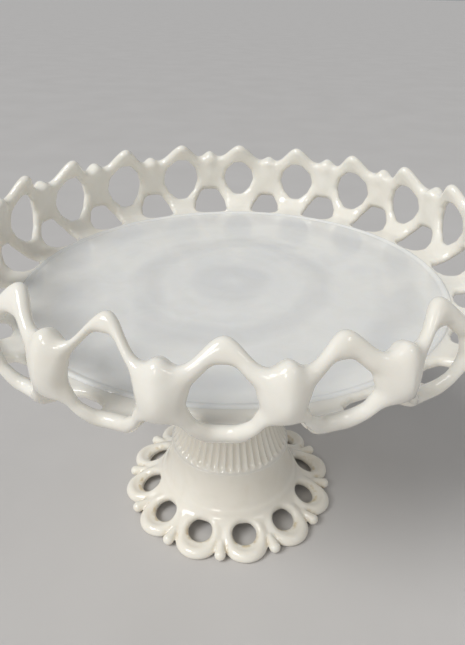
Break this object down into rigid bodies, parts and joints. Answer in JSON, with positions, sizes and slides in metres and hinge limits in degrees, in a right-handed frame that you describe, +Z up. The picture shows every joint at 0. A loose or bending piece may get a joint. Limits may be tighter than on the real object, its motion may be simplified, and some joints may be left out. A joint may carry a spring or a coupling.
{
  "type": "cake stand",
  "caption": "Footed cake stand of opaque white pressed glass: flat round plate with an open lace rim on a fluted, hollow pedestal with a scalloped lace foot.",
  "frame": {"origin": "centre of the foot, on the surface that the stand rests on", "axes": "+Z up along the pedestal's centre line; -Y through a petal of the foot"},
  "size_m": [0.2916, 0.2916, 0.203],
  "materials": {
    "plate_glass": "opaque white, fire-polished gloss",
    "rim_glass": "opaque warm white, fire-polished gloss",
    "pedestal_glass": "opaque warm white, fire-polished gloss"
  },
  "bodies": {
    "root": {"plate_floor": "plate_glass", "lace_rim": "rim_glass", "joining_wafer": "pedestal_glass", "fluted_neck": "pedestal_glass", "bell": "pedestal_glass", "lace_foot": "pedestal_glass"}
  },
  "joints": []
}
